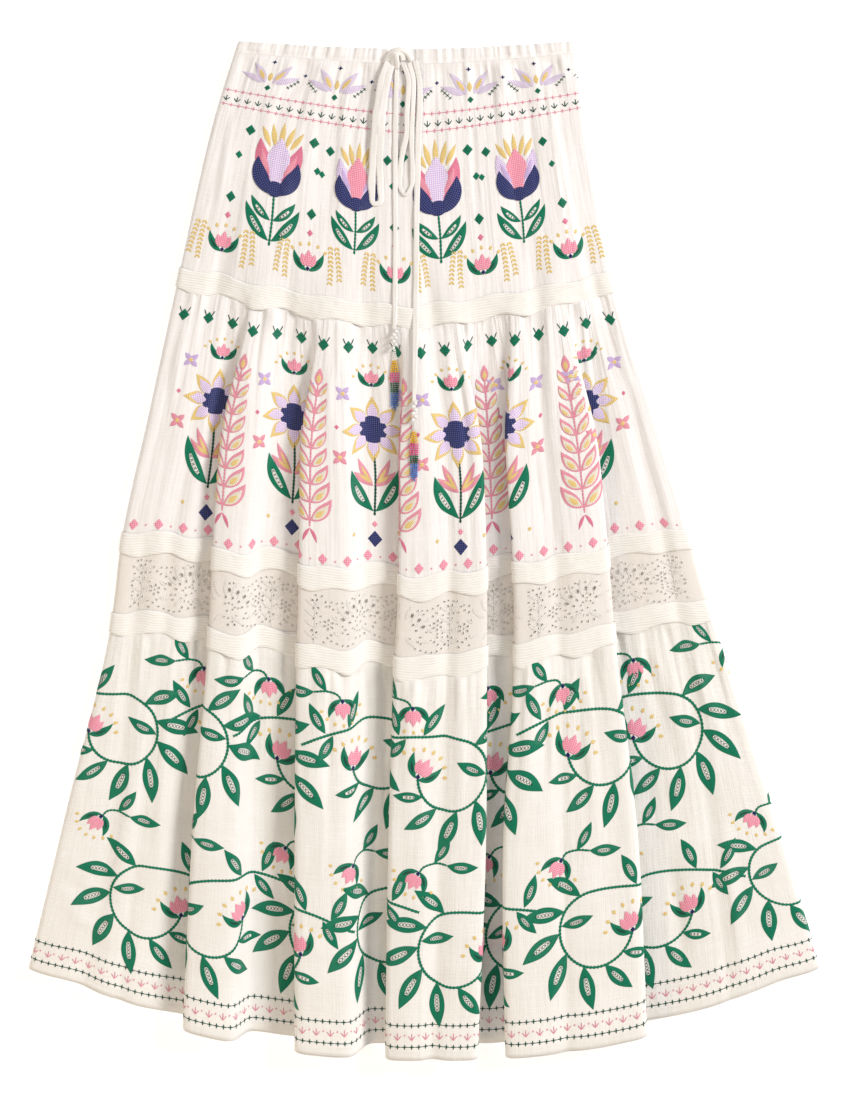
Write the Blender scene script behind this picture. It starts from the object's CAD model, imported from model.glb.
"""The looks of a tiered maxi skirt laid flat, front side up.

The cloth is worked out in sheet millimetres, x to the right and y down, as the skirt
lies on a table, and to_frame turns them into the frame's metres. The front is one
draped surface, P(u, drop), with u across the cloth and drop down from the waist.
Each front piece is a finer form of its solid: the same surface with its gathers and
creases. Stitching and lace are laid on a piece from its own points.
"""

import math
from collections import namedtuple

import bpy
import numpy as np
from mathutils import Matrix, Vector
from mathutils.geometry import delaunay_2d_cdt


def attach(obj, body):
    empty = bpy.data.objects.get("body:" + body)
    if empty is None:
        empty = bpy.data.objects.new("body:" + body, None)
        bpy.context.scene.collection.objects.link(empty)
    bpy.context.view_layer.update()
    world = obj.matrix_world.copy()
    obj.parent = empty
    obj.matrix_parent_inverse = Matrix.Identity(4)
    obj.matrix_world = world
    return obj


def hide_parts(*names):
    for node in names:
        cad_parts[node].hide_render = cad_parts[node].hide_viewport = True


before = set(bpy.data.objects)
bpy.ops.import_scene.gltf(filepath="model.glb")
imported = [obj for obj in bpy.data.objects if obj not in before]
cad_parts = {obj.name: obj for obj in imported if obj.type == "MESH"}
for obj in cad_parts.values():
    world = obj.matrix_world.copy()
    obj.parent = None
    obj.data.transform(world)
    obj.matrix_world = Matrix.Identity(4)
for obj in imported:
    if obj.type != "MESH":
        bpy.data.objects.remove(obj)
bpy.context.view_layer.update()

MM = 0.001
SHEET_MIDDLE_X = 424.5
SHEET_MIDDLE_Y = 548.7


def to_frame(points):
    """Sheet millimetres to the frame's metres."""
    points = np.asarray(points, float)
    x = points[..., 0] - SHEET_MIDDLE_X
    y = SHEET_MIDDLE_Y - points[..., 1]
    return np.stack([x, y, points[..., 2]], axis=-1) * MM


# Camera

VIEW_SIZE = (843.0, 1100.0)  # what the view takes in, in sheet millimetres
CAMERA_HEIGHT = 3.0
SENSOR = 36.0


def camera():
    """Straight above the skirt, taking in the whole sheet."""
    data = bpy.data.cameras.new("camera")
    data.sensor_fit = "VERTICAL"
    data.sensor_height = SENSOR
    data.lens = SENSOR * CAMERA_HEIGHT / (VIEW_SIZE[1] * MM)
    data.clip_end = 20.0
    made = bpy.data.objects.new("camera", data)
    middle = to_frame([0.5 * VIEW_SIZE[0], 0.5 * VIEW_SIZE[1], 0.0])
    made.location = (middle[0], middle[1], CAMERA_HEIGHT)
    bpy.context.scene.collection.objects.link(made)
    bpy.context.scene.camera = made


# Sizes of the skirt, as its solids have them

GAP = 0.3
FLOOR_Z = 4.3  # middle of the front cloth in the bottom of a valley
BACK_WALL = 1.4
SIDE_SEAM_Z = BACK_WALL + GAP

CASING_DROP = 15.0
BAND_1_DROP = 267.0
BAND_2_DROP = 536.0
BAND_3_DROP = 616.0
HEM_DROP = 1004.0
BAND_HALF = 11.5
SCALLOP_LENGTH = 56.0
SCALLOP_DEPTH = 3.0

# The lie of the skirt at eight drops: side seams, rows of the cloth, ridge height,
# how far a valley's cloth is drawn up, and how sharply a row bows towards the sides.
LEVEL_NAMES = ("drop", "left", "right", "y_left", "y_middle", "y_right", "crest", "lift", "bow")
LEVELS = (
    (0, 238, 575, 42, 50, 42, 7.0, 0.0, 1.6),
    (105, 214, 585, 120, 155, 126, 8.5, 1.0, 1.25),
    (267, 178, 614, 279, 319, 285, 12.5, 4.0, 1.4),
    (400, 151, 652, 404, 452, 408, 17.0, 8.0, 1.4),
    (536, 121, 691, 543, 588, 541, 20.0, 11.0, 1.3),
    (616, 111, 711, 623, 668, 611, 21.0, 12.0, 1.3),
    (800, 70, 768, 795, 852, 792, 25.5, 12.0, 1.7),
    (1004, 29, 820, 966, 1056, 965, 30.0, 13.0, 2.3),
)

# Folds from left to right. x is given at the eight drops above. A fold opens out
# above the drop "starts" and is fully folded from "closed" on. "size" is how far a
# lap is tucked under, or how deep a soft fold is.
Fold = namedtuple("Fold", "kind x size starts closed")
FOLDS = (
    ("soft", (254, 230, 197, 172, 144, 135, 118, 84), 3.0, 500, 640),
    ("soft", (267, 244, 216, 197, 173, 166, 146, 122), 3.5, 180, 330),
    ("lap_right", (291, 267, 246, 227, 217, 213, 198, 188), 15, 200, 430),
    ("fall", (318, 296, 278, 268, 254, 251, 246, 243), 0, 190, 420),
    ("lap_right", (345, 325, 310, 305, 303, 301, 299, 299), 13, 215, 420),
    ("fall", (371, 358, 352, 355, 358, 359, 358, 361), 0, 190, 420),
    ("lap_right", (398, 394, 396, 402, 402, 398, 392, 389), 12, 215, 420),
    ("soft", (422, 424, 432, 446, 449, 447, 440, 432), 4.5, 180, 320),
    ("lap_left", (447, 452, 465, 478, 483, 483, 482, 474), 12, 215, 420),
    ("lap_right", (484, 492, 504, 508, 516, 517, 506, 508), 12, 215, 420),
    ("soft", (508, 520, 536, 543, 555, 558, 562, 566), 4.0, 180, 320),
    ("lap_left", (533, 548, 574, 591, 604, 610, 632, 642), 14, 215, 440),
    ("soft", (558, 570, 597, 628, 662, 676, 706, 728), 4.0, 200, 420),
)
SIDE_FOLDS = (0, 1, len(FOLDS) - 1)

# A folded fold's control points, left to right: x from the fold's edge, and how many
# tucks are added to it; height from 0, valley, to 1, ridge.
LAP_RIGHT = (
    (-13, 0.0, 0.04),
    (-6, 0.3, 0.0),
    (3, 1.0, 0.0),
    (8, 1.0, 0.06),
    (8, 1.0, 0.46),
    (2, 0.8, 0.52),
    (-4, 0.0, 0.52),
    (-4.5, 0.0, 1.0),
    (14, 0.0, 1.0),
)
FALL = ((-15, 0.0, 1.0), (-5, 0.0, 0.85), (4, 0.0, 0.15), (12, 0.0, 0.02))
SOFT = ((-10, 0.0, 1.0), (0, 0.0, 0.0), (10, 0.0, 1.0))
SINKS_SOONER = 1.6
TUCKS_LATER = 1.5
TUCK_AT_WAIST = 0.4
SIDE_ROOM = 10.0
SIDE_BULGE = 0.42
SIDE_SETTLES = (20.0, 340.0)
MIDDLE_SHIFT = 8.0
BACK_DRAWN_UP = 4.0
BACK_HEM = HEM_DROP - 6.0
STILL = 0.002  # steps shorter than this have no heading


# The draped surface

LEVEL = dict(zip(LEVEL_NAMES, np.array(LEVELS, float).T))
TURN_WEIGHT = 4.0  # how much closer columns lie where the cloth turns


def unit(vectors):
    """The vectors at length 1."""
    return vectors / np.maximum(np.linalg.norm(vectors, axis=-1, keepdims=True), 1e-9)


def run_of(points):
    """Distances along a line of points, from its first."""
    return np.concatenate([[0], np.cumsum(np.linalg.norm(np.diff(points, axis=0), axis=1))])


def smooth(at, known_at, known):
    """A smooth curve through known values."""
    slope = np.gradient(known, known_at)
    i = np.clip(np.searchsorted(known_at, at) - 1, 0, len(known_at) - 2)
    step = known_at[i + 1] - known_at[i]
    t = (at - known_at[i]) / step
    a = (1 + 2 * t) * (1 - t) ** 2
    b = t * (1 - t) ** 2
    c = t * t * (3 - 2 * t)
    d = t * t * (t - 1)
    return a * known[i] + b * step * slope[i] + c * known[i + 1] + d * step * slope[i + 1]


def level(name, drop):
    return smooth(drop, LEVEL["drop"], LEVEL[name])


def ramp(t):
    t = np.clip(t, 0.0, 1.0)
    return t * t * (3 - 2 * t)


def fold_points(fold, drop, edge, low_x, high_x, ridge):
    """Control points of one fold, left to right: pairs of arrays, x and height."""
    formed = (drop - fold.starts) / (fold.closed - fold.starts)
    sunk, tucked = ramp(SINKS_SOONER * formed), ramp(formed) ** TUCKS_LATER
    rows = {"fall": FALL, "soft": SOFT}.get(fold.kind, LAP_RIGHT)
    mirror = -1 if fold.kind == "lap_left" else 1
    depth = fold.size if fold.kind == "soft" else ridge - FLOOR_Z
    tuck = fold.size * (TUCK_AT_WAIST + (1 - TUCK_AT_WAIST) * drop / HEM_DROP)
    falling = fold.kind in ("fall", "lap_left")
    found = []
    for k, (folded_x, tucks, height) in enumerate(rows[::mirror]):
        open_x = low_x + (high_x - low_x) * (k + 0.5) / len(rows)
        x = (1 - tucked) * open_x + tucked * (edge + mirror * (folded_x + tucks * tuck))
        climbed = k / (len(rows) - 1)
        step = float(ramp(1 - climbed if falling else climbed))
        early = height if fold.kind == "soft" else step
        low = 1 - (1 - tucked) * early - tucked * height
        found.append((x, ridge - sunk * low * depth))
    return found


def controls(drop):
    """x and z of the cross-section's control points, as arrays of (drop, point)."""
    left, right, crest = level("left", drop), level("right", drop), level("crest", drop)
    folds = [Fold(*row) for row in FOLDS]
    edges = [smooth(drop, LEVEL["drop"], np.array(fold.x, float)) for fold in folds]
    begins, ends_at = SIDE_SETTLES
    settled = ramp((drop - begins) / (ends_at - begins))
    bulge = FLOOR_Z + (crest - FLOOR_Z) * (1 - settled + settled * SIDE_BULGE)
    seam_z = SIDE_SEAM_Z + 0 * drop
    half_z = 0.5 * (SIDE_SEAM_Z + bulge)
    turn = [(0.5, seam_z), (0.5, half_z), (2.0, bulge - 0.2), (8.0, bulge)]
    first, last = left + SIDE_ROOM, right - SIDE_ROOM
    between = [first, *[0.5 * (a + b) for a, b in zip(edges, edges[1:])], last]
    points = [(left + inset, z) for inset, z in turn]
    for i, fold in enumerate(folds):
        ridge = bulge if i in SIDE_FOLDS else crest
        points += fold_points(fold, drop, edges[i], between[i], between[i + 1], ridge)
    points += [(right - inset, z) for inset, z in reversed(turn)]
    x = np.stack([p[0] for p in points], axis=-1)
    z = np.stack([p[1] for p in points], axis=-1)
    ends = [0, 0, *range(x.shape[-1]), x.shape[-1] - 1, x.shape[-1] - 1]
    return x[..., ends], z[..., ends]


SPANS = controls(np.zeros(1))[0].shape[-1] - 3


def edges_at(drop):
    """x of the left seam, of the middle and of the right seam."""
    left, right = level("left", drop), level("right", drop)
    return left, 0.5 * (left + right) + MIDDLE_SHIFT, right


def row_y(x, z, drop):
    """Sheet y of the cloth that lies at x, at height z, this far down from the waist."""
    (left, middle, right), crest = edges_at(drop), level("crest", drop)
    side = np.where(x < middle, middle - left, right - middle)
    share = np.clip(np.abs(x - middle) / side, 0.0, 1.0)
    y_side = np.where(x < middle, level("y_left", drop), level("y_right", drop))
    y = level("y_middle", drop) + (y_side - level("y_middle", drop)) * share ** level("bow", drop)
    low = np.clip((crest - z) / (crest - FLOOR_Z), 0.0, 1.0)
    return y - level("lift", drop) * low * ramp((1.0 - share) * 8)


def place(u, drop):
    """Points of the draped surface, in sheet millimetres. u runs from 0 to SPANS."""
    u, drop = np.broadcast_arrays(np.asarray(u, float), np.asarray(drop, float))
    drop = np.clip(drop, 0.0, HEM_DROP)
    cx, cz = controls(drop)
    i = np.clip(np.floor(u).astype(int), 0, SPANS - 1)
    t = u - i
    weights = (
        (1 - t) ** 3 / 6,
        (3 * t**3 - 6 * t**2 + 4) / 6,
        (-3 * t**3 + 3 * t**2 + 3 * t + 1) / 6,
        t**3 / 6,
    )
    columns_of = (np.take_along_axis(c, i[..., None] + np.arange(4), -1) for c in (cx, cz))
    x, z = (sum(w * c[..., k] for k, w in enumerate(weights)) for c in columns_of)
    return np.stack([x, row_y(x, z, drop), z], axis=-1)


def lengths(drop, fine=6000):
    """u values and the length of cloth from the left seam to each, at one drop."""
    u = np.linspace(0, SPANS, fine)
    return u, run_of(place(u, drop))


def columns(count, drops):
    """u of a mesh's columns: even along the cloth, and closer where it turns."""
    total = 0.0
    for drop in drops:
        u, along = lengths(drop)
        step = np.diff(place(u, drop), axis=0)
        heading = np.unwrap(np.arctan2(step[:, 2], step[:, 0]))
        bend = np.abs(np.diff(heading, prepend=heading[0]))
        bend[np.hypot(step[:, 0], step[:, 2]) < STILL] = 0.0
        weight = along + TURN_WEIGHT * np.concatenate([[0], np.cumsum(bend)])
        total = total + weight / weight[-1]
    return np.interp(np.linspace(0, len(drops), count), total, u)


def grid_normals(points):
    """Unit normals of a grid of points, on the cloth's face side."""
    # The sheet's y points down, so this order gives the side that faces up.
    return unit(np.cross(np.gradient(points, axis=1), np.gradient(points, axis=0)))


# Uneven values

TABLE = (97, 89)  # sizes without a common factor, so that it repeats late
FROM_EDGE = 200  # keeps small negative places inside the table


def wander(x, y, seed):
    """Smooth uneven values from -1 to 1 over a plane, with one hill to a unit."""
    table = np.random.default_rng(seed).uniform(-1, 1, TABLE)
    x, y = np.broadcast_arrays(np.asarray(x, float) + FROM_EDGE, np.asarray(y, float) + FROM_EDGE)
    i, j = np.floor(x).astype(int), np.floor(y).astype(int)
    f, g = ramp(x - i), ramp(y - j)

    def at(across, down):
        return table[(i + across) % TABLE[0], (j + down) % TABLE[1]]

    return (at(0, 0) * (1 - f) + at(1, 0) * f) * (1 - g) + (at(0, 1) * (1 - f) + at(1, 1) * f) * g


# Materials

class Look:
    """A material in the making."""

    def __init__(self, name, colour, roughness, sheen=0.0):
        self.material = bpy.data.materials.new(name)
        self.material.use_nodes = True
        self.tree = self.material.node_tree
        self.shader = self.tree.nodes["Principled BSDF"]
        self.feed(self.shader, {
            "Base Color": (*colour, 1.0),
            "Roughness": roughness,
            "Sheen Weight": sheen,
            "Sheen Roughness": 0.5,
            "Specular IOR Level": 0.25,
        })

    def feed(self, node, inputs):
        """Sets a node's inputs, each to a value or to another node's output."""
        for key, value in inputs.items():
            if isinstance(value, bpy.types.NodeSocket):
                self.tree.links.new(value, node.inputs[key])
            else:
                node.inputs[key].default_value = value
        return node

    def node(self, kind, inputs, **settings):
        made = self.tree.nodes.new(f"ShaderNode{kind}")
        for name, value in settings.items():
            setattr(made, name, value)
        return self.feed(made, inputs)

    def pattern(self, kind, scale, inputs, **settings):
        """A pattern over millimetres across and down the cloth, times scale."""
        source = self.node("TexCoord", {}).outputs["UV"]
        vector = self.node("Mapping", {"Scale": (*scale, 1.0), "Vector": source}).outputs["Vector"]
        return self.node(kind, {"Scale": 1.0, "Vector": vector, **inputs}, **settings).outputs["Fac"]

    def noise(self, scale, detail=2.0):
        """Uneven values, with one hill to 1/scale millimetres each way."""
        return self.pattern("TexNoise", scale, {"Detail": detail})

    def stripes(self, scale, direction, distortion=0.0):
        return self.pattern("TexWave", scale, {"Distortion": distortion}, bands_direction=direction)

    def total(self, *terms):
        """The sum of (socket, weight) terms."""
        result = 0.0
        for socket, weight in terms:
            node = self.node("Math", {0: socket, 1: weight, 2: result}, operation="MULTIPLY_ADD")
            result = node.outputs[0]
        return result

    def relief(self, height, distance, strength):
        """Relief from a height, distance in millimetres."""
        bump = self.node("Bump", {"Strength": strength, "Distance": distance * MM, "Height": height})
        self.feed(self.shader, {"Normal": bump.outputs["Normal"]})

    def tint(self, factor, low, high, low_at=0.3, high_at=0.7):
        """The shader's colour runs from low to high with a factor."""
        blend = self.node("ValToRGB", {"Fac": factor})
        for k, (colour, at) in enumerate(((low, low_at), (high, high_at))):
            blend.color_ramp.elements[k].position = at
            blend.color_ramp.elements[k].color = (*colour, 1.0)
        self.feed(self.shader, {"Base Color": blend.outputs["Color"]})

    def let_light_through(self, share, colour):
        """Thin cloth: a share of the light comes through it."""
        through = self.node("BsdfTranslucent", {"Color": (*colour, 1.0)}).outputs["BSDF"]
        mix = self.node("MixShader", {"Fac": share, 1: self.shader.outputs["BSDF"], 2: through})
        self.feed(self.tree.nodes["Material Output"], {"Surface": mix.outputs["Shader"]})


THREADS_PER_MM = 1.1  # of the slub weave, as it shows
STITCH = 1.6  # millimetres from stitch to stitch of embroidery
SHEERNESS = 0.06


def cotton(name, light, dark, slub=1.0, sheer=SHEERNESS, crinkle=0.0):
    """Thin cotton: a fine uneven weave with slubs, crinkles down it and faint cloudiness."""
    look = Look(name, light, 0.9, 0.2)
    warp = look.noise((THREADS_PER_MM, 0.03), 3.0)
    weft = look.noise((0.035, THREADS_PER_MM), 3.0)
    clouds = look.noise((0.012, 0.02))
    creases = look.noise((0.09, 0.035), 3.0)
    crinkles = look.noise((0.13, 0.007))
    height = look.total((warp, 0.5 * slub), (weft, 0.6 * slub), (creases, 1.6), (crinkles, crinkle))
    look.relief(height, 0.55, 0.8)
    look.tint(look.total((warp, 0.3), (weft, 0.35), (clouds, 0.35)), dark, light, 0.36, 0.6)
    look.let_light_through(sheer, light)
    return look.material


def trim_cloth(name, light, dark):
    """Cream tape with wavering rows of stitching along it."""
    look = Look(name, light, 0.85, 0.25)
    rows = look.stripes((0.012, 0.12), "Y", 1.6)
    slubs = look.noise((0.07, 0.9), 3.0)
    look.relief(look.total((rows, 0.45), (slubs, 1.0)), 0.5, 0.75)
    look.tint(look.total((rows, 0.4), (slubs, 0.6)), dark, light, 0.25, 0.65)
    return look.material


def thread(name, colour, shine=0.45, gap_colour=None):
    """Embroidery thread: stitches across the shape, or a lattice of them on the cloth."""
    look = Look(name, colour, shine, 0.06)
    rows = look.stripes((0.31 / STITCH, 0.02), "X", 1.0)
    fibres = look.noise((1.4, 0.6))
    look.relief(look.total((rows, 0.8), (fibres, 0.5)), 0.35, 0.8)
    if gap_colour is None:
        look.tint(look.total((rows, 0.35), (fibres, 0.65)), tuple(0.72 * c for c in colour), colour)
    else:
        across, down = look.stripes((0.16, 0.0), "X"), look.stripes((0.0, 0.16), "Y")
        look.tint(look.total((across, 0.5), (down, 0.5)), gap_colour, colour, 0.2, 0.5)
    return look.material


COTTON_LIGHT, COTTON_DARK = (0.96, 0.935, 0.922), (0.91, 0.875, 0.852)
LINEN_LIGHT, LINEN_DARK = (0.96, 0.94, 0.905), (0.89, 0.86, 0.805)
CREAM_LIGHT, CREAM_DARK = (0.935, 0.915, 0.878), (0.865, 0.832, 0.77)
LACE_LIGHT, LACE_DARK = (0.94, 0.895, 0.845), (0.885, 0.83, 0.775)
THREAD_COLOURS = {
    "green": (0.001, 0.21, 0.11),
    "dark_green": (0.005, 0.085, 0.055),
    "pink": (0.86, 0.24, 0.37),
    "pale_pink": (0.92, 0.36, 0.46),
    "lilac": (0.68, 0.51, 0.84),
    "pale_lilac": (0.82, 0.71, 0.9),
    "yellow": (0.93, 0.69, 0.27),
    "navy": (0.012, 0.02, 0.12),
    "white": (0.93, 0.9, 0.85),
}
BEAD_COLOURS = {
    "bead_white": (0.9, 0.89, 0.86),
    "bead_gold": (0.9, 0.56, 0.05),
    "bead_rose": (0.84, 0.14, 0.36),
    "bead_green": (0.02, 0.16, 0.08),
    "bead_blue": (0.12, 0.27, 0.7),
}


# Meshes

def new_mesh(name, points, faces, uv, material, rounded=True):
    """A mesh in the frame from sheet points. uv is a (u, v) for each point, in millimetres."""
    mesh = bpy.data.meshes.new(name)
    flat = to_frame(points).reshape(-1, 3)
    mesh.from_pydata(flat.tolist(), [], [list(map(int, face)) for face in faces])
    if uv is not None:
        layer = mesh.uv_layers.new(name="cloth")
        corner = np.zeros(len(mesh.loops), int)
        mesh.loops.foreach_get("vertex_index", corner)
        layer.data.foreach_set("uv", np.asarray(uv, np.float32).reshape(-1, 2)[corner].ravel())
    mesh.polygons.foreach_set("use_smooth", [rounded] * len(mesh.polygons))
    mesh.materials.append(material)
    made = bpy.data.objects.new(name, mesh)
    bpy.context.scene.collection.objects.link(made)
    return made


def grid_faces(rows, across, first=0):
    r, c = np.meshgrid(np.arange(rows - 1), np.arange(across - 1), indexing="ij")
    a = (first + r * across + c).ravel()
    return np.stack([a, a + across, a + across + 1, a + 1], axis=1)


def tube_faces(rings, sides, first=0):
    """Faces of a tube of closed rings, and then its two caps."""
    faces = []
    for a in range(first, first + (rings - 1) * sides, sides):
        for k in range(sides):
            b = (k + 1) % sides
            faces.append((a + k, a + b, a + b + sides, a + k + sides))
    last = first + (rings - 1) * sides
    return [*faces, tuple(range(first, first + sides))[::-1], tuple(range(last, last + sides))]


def grid_mesh(name, points, uv, material):
    return new_mesh(name, points, grid_faces(*points.shape[:2]), uv, material)


def add_to(piece):
    """A piece that lies on another."""
    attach(piece, "root")


def stand_for(piece, node):
    """A piece that takes a solid's place."""
    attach(piece, "root")
    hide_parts(node)


# Gathers and creases

# Runs of gathers in each piece, from fine and short to broad and long: the width of
# one, how far it stands proud, and how far down it has died to a third, in millimetres
GATHERS = {
    "casing": ((4.6, 1.3, 900), (10, 0.9, 900)),
    "yoke": ((5.5, 1.4, 55), (9, 1.9, 120), (19, 1.6, 240), (44, 1.1, 900)),
    "tier_2": ((5.5, 1.9, 60), (9.5, 3.1, 130), (20, 2.6, 240), (46, 1.2, 900)),
    "tier_3": ((6.5, 2.0, 50), (12, 3.1, 110), (25, 2.6, 210), (55, 1.4, 900)),
    "lace": ((9, 0.5, 900), (24, 0.9, 900)),
}
SEEDS = {"casing": 3, "yoke": 11, "tier_2": 23, "tier_3": 37, "lace": 53}
GROW = 9.0
CALM = 15.0  # millimetres: cloth that turns tighter than this stays smooth
CALM_REACH = 5  # columns
CALM_ENDS = 10.0  # columns

# Soft troughs and ridges: both ends on the sheet, width, and height, below 0 in a trough
CREASES = (
    (232, 96, 219, 214, 7, 1.3),
    (262, 92, 252, 190, 6, -1.2),
    (293, 96, 281, 262, 8, 1.5),
    (322, 84, 316, 170, 6, -1.1),
    (347, 92, 338, 236, 7, 1.2),
    (372, 88, 366, 196, 6, -1.0),
    (447, 92, 452, 205, 7, 1.2),
    (470, 86, 478, 240, 6, -1.3),
    (500, 84, 508, 268, 8, 1.5),
    (526, 92, 537, 186, 6, -1.1),
    (549, 88, 566, 246, 7, 1.4),
    (190, 300, 172, 408, 7, 1.5),
    (205, 300, 192, 372, 6, -1.6),
    (262, 318, 254, 420, 7, -1.5),
    (284, 322, 276, 470, 7, 1.4),
    (330, 340, 328, 430, 7, 1.3),
    (372, 340, 366, 480, 8, -1.4),
    (424, 342, 421, 470, 7, 1.4),
    (462, 338, 466, 500, 7, -1.5),
    (541, 322, 552, 452, 8, 1.6),
    (566, 318, 578, 392, 6, -1.4),
    (612, 306, 634, 452, 8, 1.6),
    (634, 300, 660, 400, 7, -1.6),
    (94, 660, 78, 748, 9, 1.8),
    (146, 660, 134, 790, 9, -1.8),
    (170, 662, 158, 900, 11, 1.6),
    (236, 668, 226, 812, 9, -1.7),
    (268, 672, 262, 760, 8, 1.5),
    (329, 690, 328, 806, 8, -1.6),
    (374, 692, 376, 842, 9, 1.5),
    (428, 696, 434, 900, 9, -1.8),
    (462, 690, 462, 800, 8, 1.4),
    (546, 676, 545, 782, 9, -1.6),
    (580, 672, 598, 850, 10, 1.7),
    (650, 652, 672, 760, 9, -1.8),
    (684, 640, 720, 742, 9, 1.6),
    (668, 850, 684, 968, 12, -2.4),
    (716, 820, 742, 972, 13, 1.9),
    (742, 700, 772, 800, 10, -1.6),
    (402, 950, 466, 942, 6, -1.2),
    (410, 968, 470, 964, 6, 1.1),
    (306, 952, 352, 946, 6, 1.1),
    (308, 930, 350, 936, 6, -1.0),
    (560, 962, 618, 950, 7, -1.3),
    (196, 952, 236, 968, 7, 1.2),
    (60, 880, 120, 905, 9, -1.5),
    (70, 905, 112, 940, 8, 1.3),
)


def gathered(piece, top_along, below, calm):
    """How far the cloth stands proud: top_along is measured where the gathers start."""
    proud = 0.0
    for number, (period, depth, fade) in enumerate(GATHERS[piece]):
        across = top_along / period
        uneven = wander(across, below / (9 * period), SEEDS[piece] + number)
        sharp = 0.45 - np.abs(wander(across, 3.0 + below / (7 * period), 90 + number))
        proud = proud + depth * np.exp(-below / fade) * (0.75 * uneven + 0.6 * sharp)
    return proud * calm


def creased(points):
    """How far the hand-placed creases lift the cloth at these points."""
    lift, here = np.zeros(points.shape[:-1]), points[..., :2]
    for x0, y0, x1, y1, width, height in CREASES:
        start, run = np.array([x0, y0], float), np.array([x1 - x0, y1 - y0], float)
        t = np.clip(((here - start) @ run) / (run @ run), 0.0, 1.0)
        away = np.linalg.norm(here - start - t[..., None] * run, axis=-1)
        dying = np.sin(math.pi * (0.08 + 0.84 * t))
        lift += height * np.exp(-((away / width) ** 2) * 2) * dying
    return lift


def calmness(points):
    """1 on open cloth, falling to 0 where a row of it turns sharply or is near its end."""
    step = np.diff(points[..., [0, 2]], axis=1)
    heading = np.unwrap(np.arctan2(step[..., 1], step[..., 0]), axis=1)
    long = np.linalg.norm(step, axis=-1)
    bend = np.zeros(points.shape[:2])
    bend[:, 1:-1] = np.abs(np.diff(heading, axis=1)) / (0.5 * (long[:, 1:] + long[:, :-1]) + STILL)
    tightest = bend.copy()
    for shift in range(1, CALM_REACH + 1):
        tightest[:, shift:] = np.maximum(tightest[:, shift:], bend[:, :-shift])
        tightest[:, :-shift] = np.maximum(tightest[:, :-shift], bend[:, shift:])
    number = np.arange(points.shape[1])
    from_end = np.minimum(number, number[::-1])
    return ramp(from_end / CALM_ENDS) / (1 + (CALM * tightest) ** 2)


class Panel:
    """A front piece's cloth: a grid of points with normals and distances along it."""

    def __init__(self, piece, u, drops, gathers_from, creases=True):
        self.drops = np.asarray(drops, float)
        grid_u, grid_drop = np.meshgrid(u, self.drops)
        flat = place(grid_u, grid_drop)
        steps = np.linalg.norm(np.diff(flat, axis=1), axis=-1)
        self.along = np.concatenate([np.zeros((len(drops), 1)), np.cumsum(steps, axis=1)], axis=1)
        self.flat, self.calm = flat, calmness(flat)
        below = np.maximum(grid_drop - gathers_from, 0.0)
        grown = ramp(below / GROW) if gathers_from > 0 else 1.0
        proud = grown * gathered(piece, self.along[0], below, self.calm)
        if creases:
            proud = proud + self.calm * creased(flat)
        self.points = flat + grid_normals(flat) * np.asarray(proud)[..., None]
        self.normals = grid_normals(self.points)
        grain = self.along[len(self.along) // 2]  # the warp runs down the columns
        self.uv = np.stack([np.broadcast_to(grain, grid_drop.shape), grid_drop], axis=-1)
        at = np.arange(int(self.along.max()) + 2)
        numbers = np.arange(len(u))
        self.column_of = np.stack([np.interp(at, row, numbers) for row in self.along])

    def look(self, table, row, col):
        """A table's value between its rows and columns."""
        row, col = np.broadcast_arrays(row, col)
        row = np.clip(row, 0, table.shape[0] - 1.001)
        col = np.clip(col, 0, table.shape[1] - 1.001)
        i, j = row.astype(int), col.astype(int)
        f, g = row - i, col - j
        if table.ndim == 3:
            f, g = f[..., None], g[..., None]
        upper = table[i, j] * (1 - g) + table[i, j + 1] * g
        lower = table[i + 1, j] * (1 - g) + table[i + 1, j + 1] * g
        return upper * (1 - f) + lower * f

    def row_at(self, drop):
        return np.interp(drop, self.drops, np.arange(len(self.drops)))

    def column_at(self, along, drop):
        return self.look(self.column_of, self.row_at(drop), np.asarray(along, float))

    def width_at(self, drop):
        return float(np.interp(drop, self.drops, self.along[:, -1]))

    def above(self, row, col, height):
        return self.look(self.points, row, col) + self.look(self.normals, row, col) * height

    def on(self, along, drop, height):
        """Points this high above the cloth, this far along it and down it."""
        return self.above(self.row_at(drop), self.column_at(along, drop), height[..., None])


# Front pieces

JOINT = 0.35  # half the room between two tiers under a band
COLUMN_DROPS = {
    "yoke": (20.0, 120.0, 240.0),
    "tier_2": (300.0, 400.0, 520.0),
    "lace": (540.0, 575.0, 610.0),
    "tier_3": (640.0, 800.0, 990.0),
}
# Columns, first and last drop, step down, and where the gathers start
TIERS = {
    "yoke": (440, CASING_DROP + 0.15, BAND_1_DROP - JOINT, 3.7, 15.0),
    "tier_2": (640, BAND_1_DROP + JOINT, BAND_2_DROP - JOINT, 4.6, 273.0),
    "tier_3": (780, BAND_3_DROP + JOINT, HEM_DROP, 5.0, 623.0),
}
EDGE_UNDER = (0.45, 0.9, 1.0)  # how far under the cloth each row of a turned edge lies
HEM_GRAIN = (2.0, 4.0, 16.0)
CASING_GRAIN = (-4.0, -3.0, -1.5)
CASING_STITCHES = 12.0  # drop of the stitched row
CASING_SETTLES = 5.0  # above the yoke


def spaced(start, end, step):
    return np.linspace(start, end, int(math.ceil((end - start) / step)) + 1)


def turned_edge(points, normals, edge_row, inward):
    """Rows of cloth turned under at a hem: inward is the row step away from the edge."""
    rows = [edge_row + inward * k for k in range(len(EDGE_UNDER))]
    return points[rows] - normals[rows] * np.array(EDGE_UNDER)[:, None, None]


def grain_rows(uv, steps):
    """The grain of a turned edge, continued from a row of the cloth's."""
    return uv + np.array([[[0, step]] for step in steps])


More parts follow.
